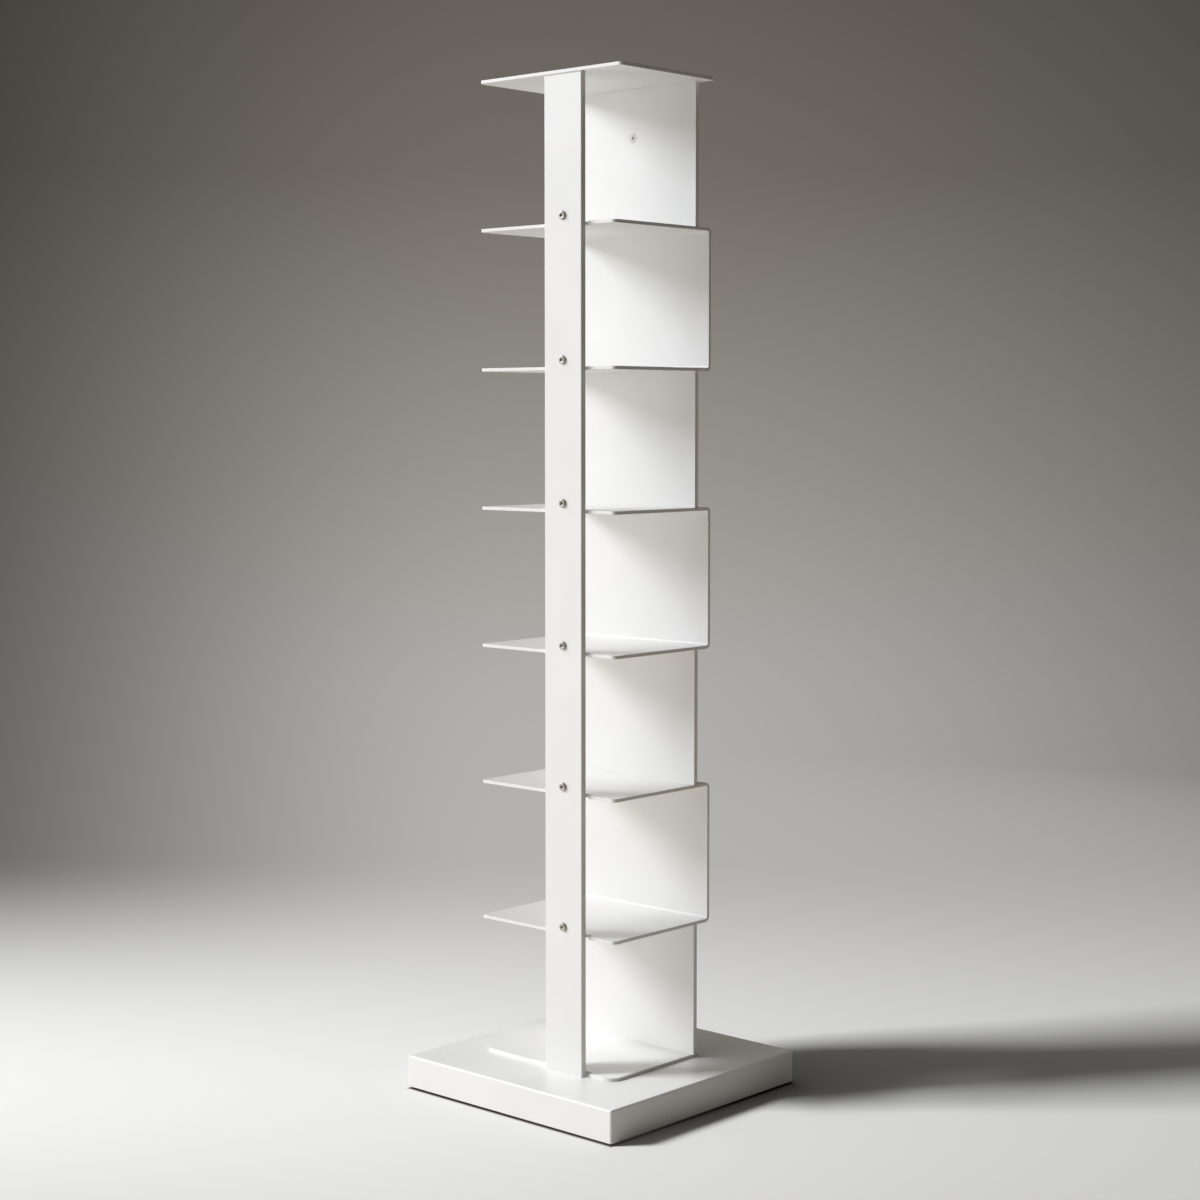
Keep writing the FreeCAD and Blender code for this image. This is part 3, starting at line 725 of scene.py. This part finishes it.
@dataclass
class ButtonHeadScrew:
    """One M6 button-head socket screw that lies along Y, its head towards the front."""

    head_radius: float = 5.25 * MM
    head_height: float = 2.8 * MM
    crown_radius: float = 3.9 * MM
    rim: float = 1.0 * MM
    rim_edge: float = 0.18 * MM
    mouth_radius: float = 2.54 * MM
    lip: float = 0.22 * MM  # height of the rounding at the socket's mouth
    socket_width: float = 4.0 * MM
    socket_depth: float = 1.2 * MM
    drill: float = 0.5 * MM  # radius and depth of the dimple in the socket's floor
    shank_radius: float = 3.0 * MM
    thread_depth: float = 0.55 * MM
    length: float = 18.0 * MM
    pitch: float = 1.0 * MM
    crests: int = 6
    segments: int = 72
    arc_steps: int = 8

    def ring(self, reach: float, height: float, turn: float, hexagon: bool = False) -> list[Vector]:
        """One ring round the screw's axis.

        Args:
            reach: Radius, or a hexagon's width across flats.
            height: Distance in front of the head's seat.
            turn: How far the socket is turned, in radians.
            hexagon: Whether the ring is a hexagon.

        Returns:
            The ring's points.
        """
        points = []
        for step in range(self.segments):
            angle = 2 * math.pi * step / self.segments
            radius = hexagon_reach(angle, reach) if hexagon else reach
            points.append(Vector((radius * math.cos(angle + turn), -height, radius * math.sin(angle + turn))))
        return points

    def dome(self) -> list[tuple[float, float]]:
        """Radius and height of the head, from its seat to its crown."""
        steps = [(self.head_radius - self.rim_edge, 0.0), (self.head_radius, self.rim_edge)]
        steps.append((self.head_radius, self.rim - self.rim_edge))
        for step in range(self.arc_steps + 1):
            angle = math.pi / 2 * step / self.arc_steps
            radius = self.crown_radius + (self.head_radius - self.crown_radius) * math.cos(angle)
            steps.append((radius, self.rim + (self.head_height - self.rim) * math.sin(angle)))
        return steps

    def socket(self) -> list[tuple[float, float, bool]]:
        """Reach and height of the socket from mouth to floor, and whether it is a hexagon there."""
        mouth, floor = self.head_height, self.head_height - self.socket_depth
        return [
            (self.mouth_radius + 0.12 * MM, mouth, False),
            (self.mouth_radius, mouth - 0.05 * MM, False),
            (self.socket_width * 1.01, mouth - self.lip, True),
            (self.socket_width, mouth - 2 * self.lip, True),
            (self.socket_width, floor + 0.1 * MM, True),
            (self.socket_width * 0.94, floor, True),
            (self.drill, floor - self.drill, False),
        ]

    def thread(self) -> list[tuple[float, float]]:
        """Radius and height of the shank, from its tip to the head's seat, with rolled crests near the tip."""
        crest, root = self.shank_radius, self.shank_radius - self.thread_depth
        steps = [(0.72 * crest, -self.length), (0.86 * crest, -self.length + 0.4 * MM)]
        at = -self.length + 0.5 * self.pitch
        while at < -self.length + self.crests * self.pitch:
            steps += [(root, at), (crest, at + 0.45 * self.pitch), (crest, at + 0.6 * self.pitch)]
            at += self.pitch
        return steps + [(root, at), (crest, at + 0.5 * self.pitch), (crest, 0.0)]

    def build(self, turn: float) -> Mesh:
        """Build the mesh.

        Args:
            turn: How far the socket ended up turned, in radians.

        Returns:
            The mesh, with the head's seat at the origin.
        """
        mesh = bmesh.new()
        rings = [self.ring(radius, height, turn) for radius, height in self.thread() + self.dome()]
        rings += [self.ring(reach, height, turn, hexagon) for reach, height, hexagon in self.socket()]
        join_rings(mesh, rings)
        return mesh


@dataclass
class WeldNut:
    """One M6 hexagon nut that lies along Y, with both faces turned to a chamfer."""

    width: float = 10.0 * MM
    height: float = 5.0 * MM
    face_radius: float = 4.75 * MM
    bore: float = 2.95 * MM
    thread_depth: float = 0.4 * MM
    countersink: float = 0.45 * MM
    pitch: float = 1.0 * MM
    threads: int = 5
    segments: int = 72

    def build(self) -> Mesh:
        """Build the mesh, with the face that is welded on at the origin and the other at +Y."""
        mesh = bmesh.new()
        groove = self.bore + self.thread_depth
        rings = [self.ring(lambda _: (self.face_radius, 0.0))]
        rings.append(self.ring(lambda angle: self.corner(angle, 0.0)))
        rings.append(self.ring(lambda angle: self.corner(angle, self.height)))
        rings.append(self.ring(lambda _: (self.face_radius, self.height)))
        rings.append(self.ring(lambda _: (self.bore + self.countersink, self.height)))
        for step in range(self.threads):
            depth = self.height - 0.4 * MM - step * self.pitch
            rings.append(self.ring(lambda _, depth=depth: (self.bore, depth)))
            if step < self.threads - 1:
                rings.append(self.ring(lambda _, depth=depth: (groove, depth - self.pitch / 2)))
        rings.append(self.ring(lambda _: (groove, 0.0)))
        rings.append(rings[0])
        join_rings(mesh, rings, closed=False)
        bmesh.ops.remove_doubles(mesh, verts=mesh.verts, dist=0.001 * MM)
        return mesh

    def corner(self, angle: float, end: float) -> tuple[float, float]:
        """Where the chamfer meets a flat.

        Args:
            angle: Direction from the nut's middle, in radians.
            end: Height of the face that it starts from.

        Returns:
            Radius and height.
        """
        reach = hexagon_reach(angle, self.width)
        drop = (reach - self.face_radius) * math.tan(math.radians(30))
        return reach, end + drop if end == 0 else end - drop

    def ring(self, shape: Callable[[float], tuple[float, float]]) -> list[Vector]:
        """One ring round the nut's axis.

        Args:
            shape: Gives radius and height for an angle.

        Returns:
            The ring's points.
        """
        points = []
        for step in range(self.segments):
            angle = 2 * math.pi * step / self.segments
            radius, height = shape(angle)
            points.append(Vector((radius * math.cos(angle), height, radius * math.sin(angle))))
        return points


def finish(name: str, material: Material) -> None:
    """Finish one carried-over solid.

    Args:
        name: The node's name.
        material: Its finish.
    """
    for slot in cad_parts[name].material_slots:
        slot.material = material
    log.info("%s: %s", name, material.name)


@dataclass
class Plinth:
    """The folded base, the ballast inside it and the pads under it."""

    coat: Material
    primer: Material
    rubber: Material
    pads: int = 4

    def dress(self) -> None:
        """Finish the plinth's pieces."""
        finish("plinth_shell", self.coat)
        finish("ballast_plate", self.primer)
        for number in range(1, self.pads + 1):
            finish(f"foot_pad_{number}", self.rubber)


@dataclass
class Spine:
    """The flat bar and what holds its two ends."""

    coat: Material
    enamel: Material
    zinc: Material

    def dress(self) -> None:
        """Finish the bar and its end fasteners."""
        finish("spine_bar", self.coat)
        finish("top_screw", self.enamel)
        finish("bar_bolts", self.zinc)


@dataclass
class Shelves:
    """The bent C units, the flat panels between them, the tray with its stud and nut, and the top plate."""

    coat: Material
    zinc: Material
    units: int = 3
    panels: int = 4

    def dress(self) -> None:
        """Finish every sheet-metal piece of the tower."""
        names = [f"shelf_unit_{number}" for number in range(1, self.units + 1)]
        names += [f"back_panel_{number}" for number in range(1, self.panels + 1)]
        for name in names + ["bottom_tray", "top_plate"]:
            finish(name, self.coat)
        for name in ("tray_stud", "tray_nut"):
            finish(name, self.zinc)


@dataclass
class SpineFasteners:
    """The six screws that show on the spine, and the nuts welded behind the shelves' tabs."""

    nickel: Material
    zinc: Material
    count: int = 6
    across: float = 26.5 * MM
    first_height: float = 227.0 * MM
    spacing: float = 175.0 * MM
    seat: float = -99.0 * MM
    nut_seat: float = -87.0 * MM
    turns: tuple[float, ...] = (0.35, 0.92, 0.12, 0.61, 0.22, 0.78)  # of the sockets, in radians
    screw: ButtonHeadScrew = field(default_factory=ButtonHeadScrew)
    nut: WeldNut = field(default_factory=WeldNut)

    def build(self) -> None:
        """Build every screw and nut where its solid is."""
        for number in range(self.count):
            height = self.first_height + number * self.spacing
            screw = new_piece(f"spine_screw_{number + 1}", self.screw.build(self.turns[number]), self.nickel)
            self.place(screw, Vector((self.across, self.seat, height)), "spine_screws", Slot.NICKEL)
            nut = new_piece(f"tab_nut_{number + 1}", self.nut.build(), self.zinc)
            self.place(nut, Vector((self.across, self.nut_seat, height)), "spine_nuts", Slot.ZINC)

    def place(self, piece: Piece, where: Vector, node: str, slot: Slot) -> None:
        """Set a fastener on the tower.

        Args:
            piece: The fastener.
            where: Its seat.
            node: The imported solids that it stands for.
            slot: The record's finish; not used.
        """
        piece.location = where
        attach(piece, ROOT)
        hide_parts(node)
        log.info("%s: %s", piece.name, piece.data.materials[0].name)


@dataclass
class WallTie:
    """The small screw in the highest panel and the spacer behind it that takes a wall strap."""

    enamel: Material
    zinc: Material

    def dress(self) -> None:
        """Finish both pieces."""
        finish("wall_tie_screw", self.enamel)
        finish("wall_tie_spacer", self.zinc)


@dataclass(frozen=True)
class Softbox:
    """One square softbox or lit white card, with the pieces that its flags let it light."""

    name: str
    side: float  # degrees that it stands behind the viewer's left, seen from the tower
    distance: float  # level, in metres
    height: float
    power: float
    aim: float  # height of the point that it faces
    size: float = 1.2
    tint: str = "#ffffff"

    def hang(self, lit: list[Piece]) -> None:
        """Hang it.

        Args:
            lit: The pieces that it lights.
        """
        data = bpy.data.lights.new(self.name, "AREA")
        data.shape = "SQUARE"
        data.size = self.size
        data.energy = self.power
        data.color = linear(self.tint)[:3]
        turn = math.radians(self.side)
        lamp = bpy.data.objects.new(self.name, data)
        lamp.location = (-ACROSS * math.cos(turn) - LOOKING * math.sin(turn)) * self.distance
        lamp.location.z = self.height
        lamp.rotation_euler = (Vector((0.0, 0.0, self.aim)) - lamp.location).to_track_quat("-Z", "Y").to_euler()
        bpy.context.scene.collection.objects.link(lamp)
        flagged = bpy.data.collections.new(f"lit_by_{self.name}")
        for piece in lit:
            flagged.objects.link(piece)
        lamp.light_linking.receiver_collection = flagged


@dataclass(frozen=True)
class Viewpoint:
    """A long lens a little above the tower's middle, turned slightly down."""

    lens: float = 68.3
    sensor: float = 36.0
    shift: float = -0.03
    nearest: float = 0.05
    furthest: float = 50.0
    place: tuple[float, float, float] = (1.9384, -2.1267, 0.8575)
    tilt: float = -3.692  # degrees over the level
    heading: float = 42.383  # degrees to the left of straight back

    def set_up(self) -> None:
        """Set the camera up."""
        data = bpy.data.cameras.new("camera")
        data.lens = self.lens
        data.sensor_width = self.sensor
        data.shift_y = self.shift
        data.clip_start, data.clip_end = self.nearest, self.furthest
        camera = bpy.data.objects.new("camera", data)
        camera.location = self.place
        camera.rotation_euler = (math.radians(90 + self.tilt), 0.0, math.radians(self.heading))
        bpy.context.scene.collection.objects.link(camera)
        bpy.context.scene.camera = camera


@dataclass
class Studio:
    """The paper sweep, three softboxes, three white cards, the dim room and the camera."""

    inner_radius: float = 0.6
    floor_radius: float = 1.3
    flat_radius: float = 4.2
    sweep: float = 1.5
    sweep_steps: int = 16
    wall_height: float = 6.0
    segments: int = 128
    tower_softbox: Softbox = Softbox(
        "tower_softbox", side=-8.0, distance=10.0, height=5.15, power=762.0, aim=0.6, size=3.2, tint="#eff4ff"
    )
    base_softbox: Softbox = Softbox(
        "base_softbox", side=5.0, distance=4.6, height=4.1, power=306.0, aim=0.0, tint="#f6f9ff"
    )
    floor_softbox: Softbox = Softbox(
        "floor_softbox", side=8.0, distance=6.0, height=4.7, power=2060.0, aim=0.0, size=1.55
    )
    front_card: Softbox = Softbox(
        "front_card", side=14.0, distance=2.6, height=0.5, power=5.2, aim=0.8, size=1.6
    )
    side_card: Softbox = Softbox(
        "side_card", side=-40.0, distance=4.5, height=4.5, power=66.0, aim=0.6, size=1.6
    )
    rear_card: Softbox = Softbox(
        "rear_card", side=209.0, distance=5.0, height=1.0, power=33.0, aim=0.65, size=2.4, tint="#ffeedb"
    )
    bright_side: tuple[float, float, float] = (-0.765, -0.615, 0.15)  # where the room is brightest
    room_tint: str = "#fffdf9"
    room_low: float = 0.02
    room_high: float = 1.15
    room_start: float = 0.05  # cosine of the angle from the bright side at which the room is dark
    room_seen: str = "#4c4842"
    view: Viewpoint = Viewpoint()

    def disc(self, name: str, profile: list[tuple[float, float]], paper: Material, hole: bool) -> Piece:
        """Turn a profile round the tower.

        Args:
            name: The piece's name.
            profile: Radius and height of each ring.
            paper: Its material.
            hole: Whether the middle is left open.

        Returns:
            The stage piece.
        """
        mesh = bmesh.new()
        angles = [2 * math.pi * at / self.segments for at in range(self.segments)]
        rings = [
            [Vector((radius * math.cos(angle), radius * math.sin(angle), height)) for angle in angles]
            for radius, height in profile
        ]
        join_rings(mesh, rings, closed=False)
        if not hole:
            mesh.verts.ensure_lookup_table()
            mesh.faces.new(mesh.verts[:self.segments])
        piece = new_piece(name, mesh, paper)
        return piece

    def build_sweep(self) -> list[Piece]:
        """Lay the paper: a floor that takes shadows, and a bowl round it that only the eye and gloss see."""
        paper = SweepPaper().material()
        floor = self.disc("floor", [(self.inner_radius, 0.0), (self.floor_radius, 0.0)], paper, hole=False)
        profile = [(self.floor_radius, 0.0), (self.flat_radius, 0.0)]
        for step in range(1, self.sweep_steps + 1):
            angle = math.pi / 2 * step / self.sweep_steps
            out, up = self.sweep * math.sin(angle), self.sweep * (1 - math.cos(angle))
            profile.append((self.flat_radius + out, up))
        profile.append((self.flat_radius + self.sweep, self.wall_height))
        backdrop = self.disc("backdrop", profile, paper, hole=True)
        backdrop.visible_diffuse = False
        backdrop.visible_shadow = False
        return [floor, backdrop]

    def light(self, sweep: list[Piece]) -> None:
        """Hang a softbox each for the tower, its base and the paper, and the cards that keep the shade open.

        Args:
            sweep: The paper's pieces.
        """
        low = ["plinth_shell", "bottom_tray", "ballast_plate"]
        low += [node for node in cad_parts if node.startswith("foot_pad")]
        base = [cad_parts[node] for node in low]
        shown = [piece for piece in bpy.context.scene.objects if piece.type == "MESH"]
        tower = [piece for piece in shown if piece not in base + sweep]
        self.floor_softbox.hang(sweep)
        self.base_softbox.hang(base)
        self.tower_softbox.hang(tower)
        self.front_card.hang(tower)
        self.side_card.hang(tower)
        self.rear_card.hang(tower + base)

    def fill(self) -> None:
        """Set the room's dim fill, which comes almost level from the front left."""
        world = bpy.data.worlds.new("room")
        bpy.context.scene.world = world
        world.use_nodes = True
        tree = world.node_tree
        tree.nodes.clear()
        way = add_node(tree, "ShaderNodeTexCoord").outputs["Generated"]
        facing = measured(tree, "DOT_PRODUCT", way, Vector(self.bright_side))
        strength = spread(tree, facing, self.room_low, self.room_high, self.room_start, 1.0, "SMOOTHSTEP")
        fill = add_node(tree, "ShaderNodeBackground", {"Color": linear(self.room_tint)}, {"Strength": strength})
        seen = add_node(tree, "ShaderNodeBackground", {"Color": linear(self.room_seen), "Strength": 1.0})
        links = {0: looked_at(tree), 1: fill.outputs[0], 2: seen.outputs[0]}
        mixed = add_node(tree, "ShaderNodeMixShader", links=links)
        add_node(tree, "ShaderNodeOutputWorld", links={"Surface": mixed.outputs[0]})

    def build(self) -> None:
        """Build the whole studio."""
        self.light(self.build_sweep())
        self.fill()
        self.view.set_up()
        log.info("studio: sweep, three softboxes, three cards, room and camera")


def main() -> None:
    """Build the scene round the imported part."""
    logging.basicConfig(level=logging.INFO, format="%(message)s")
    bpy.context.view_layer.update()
    bpy.context.scene.view_settings.view_transform = "Standard"

    coat = PowderCoat().material()
    enamel = ScrewEnamel().material()
    zinc = ZincPlate().material()
    Plinth(coat, PlatePrimer().material(), PadRubber().material()).dress()
    Spine(coat, enamel, zinc).dress()
    Shelves(coat, zinc).dress()
    SpineFasteners(NickelPlate().material(), zinc).build()
    WallTie(enamel, zinc).dress()
    Studio().build()


if __name__ == "__main__":
    main()
